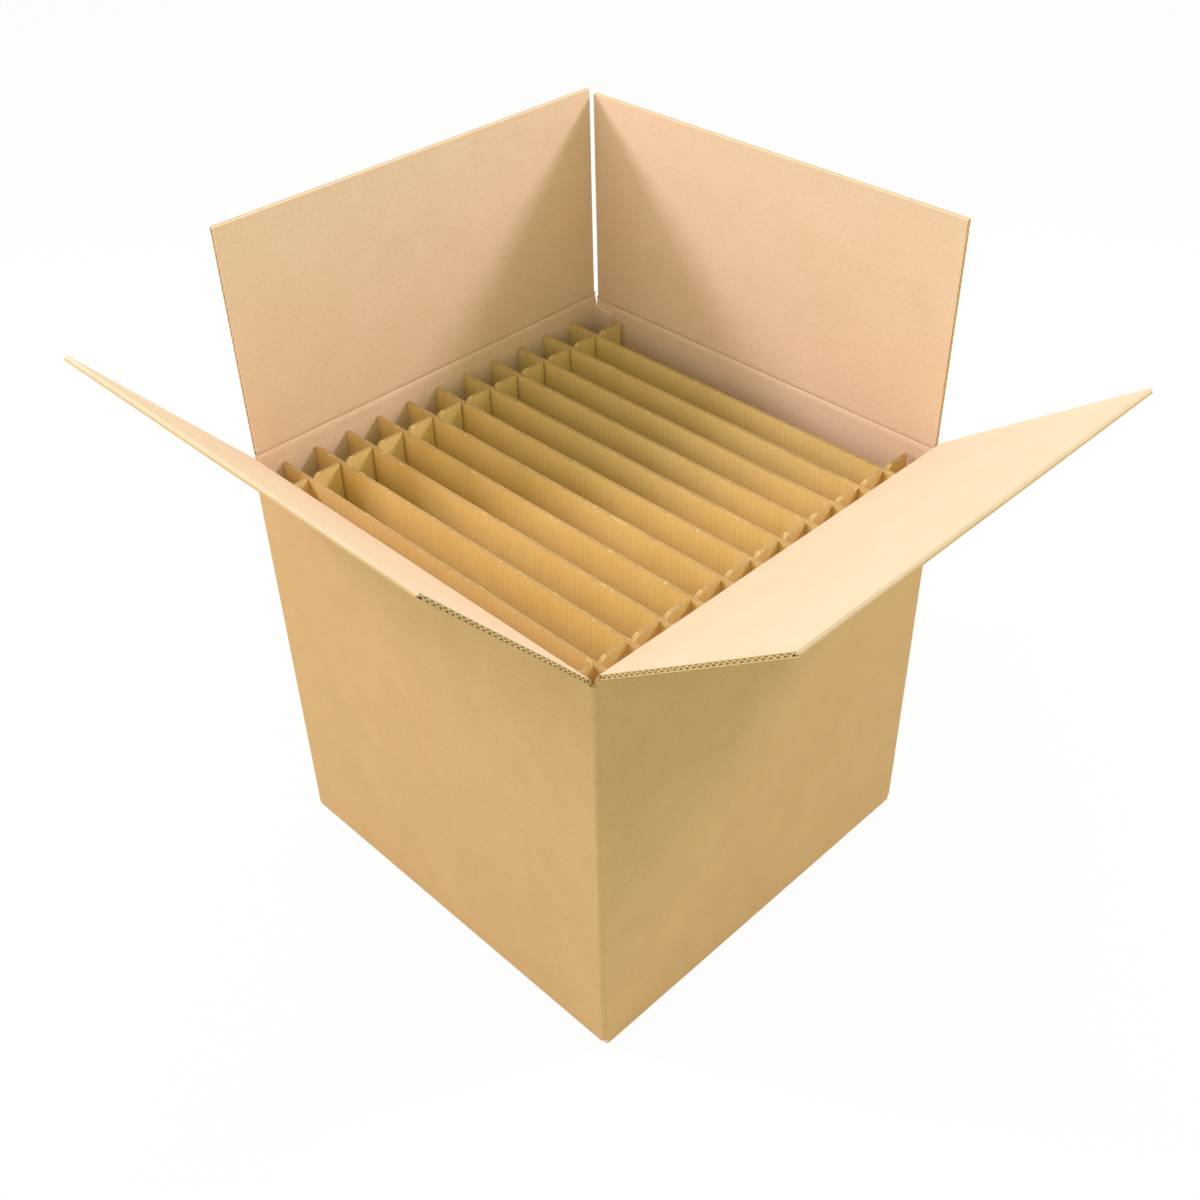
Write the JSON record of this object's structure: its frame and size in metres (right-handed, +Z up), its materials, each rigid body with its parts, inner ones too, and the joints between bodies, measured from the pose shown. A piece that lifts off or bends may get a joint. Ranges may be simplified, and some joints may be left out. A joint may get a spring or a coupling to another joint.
{
  "type": "divided cardboard box",
  "caption": "Open cubic corrugated cardboard box with hinged top flaps and an interlocking slotted divider insert that holds plates on edge.",
  "frame": {"origin": "middle of the bottom outer face", "axes": "+Z up, +X from the left wall to the right wall across the dividers, +Y from the front wall to the back wall along the dividers"},
  "size_m": [0.5309, 0.5614, 0.6119],
  "materials": {
    "box_board": "matt kraft liner",
    "divider_board": "matt kraft liner"
  },
  "bodies": {
    "box": {"box_body": "box_board", "divider_01": "divider_board", "divider_02": "divider_board", "divider_03": "divider_board", "divider_04": "divider_board", "divider_05": "divider_board", "divider_06": "divider_board", "divider_07": "divider_board", "divider_08": "divider_board", "divider_09": "divider_board", "divider_10": "divider_board", "divider_11": "divider_board", "cross_strip_front": "divider_board", "cross_strip_back": "divider_board"},
    "front_flap": {"front_flap": "box_board"},
    "left_flap": {"left_flap": "box_board"},
    "back_flap": {"back_flap": "box_board"},
    "right_flap": {"right_flap": "box_board"}
  },
  "joints": [
    {"name": "front_flap_crease", "type": "hinge", "parent": "box", "child": "front_flap", "pos_m": [0, -0.2, 0.4124], "axis": [1, 0, 0], "range_deg": [-144, 116]},
    {"name": "left_flap_crease", "type": "hinge", "parent": "box", "child": "left_flap", "pos_m": [-0.2, 0, 0.408], "axis": [0, -1, 0], "range_deg": [-131, 129]},
    {"name": "back_flap_crease", "type": "hinge", "parent": "box", "child": "back_flap", "pos_m": [0, 0.2, 0.4124], "axis": [-1, 0, 0], "range_deg": [-90, 170]},
    {"name": "right_flap_crease", "type": "hinge", "parent": "box", "child": "right_flap", "pos_m": [0.2, 0, 0.408], "axis": [0, 1, 0], "range_deg": [-90, 170]}
  ]
}
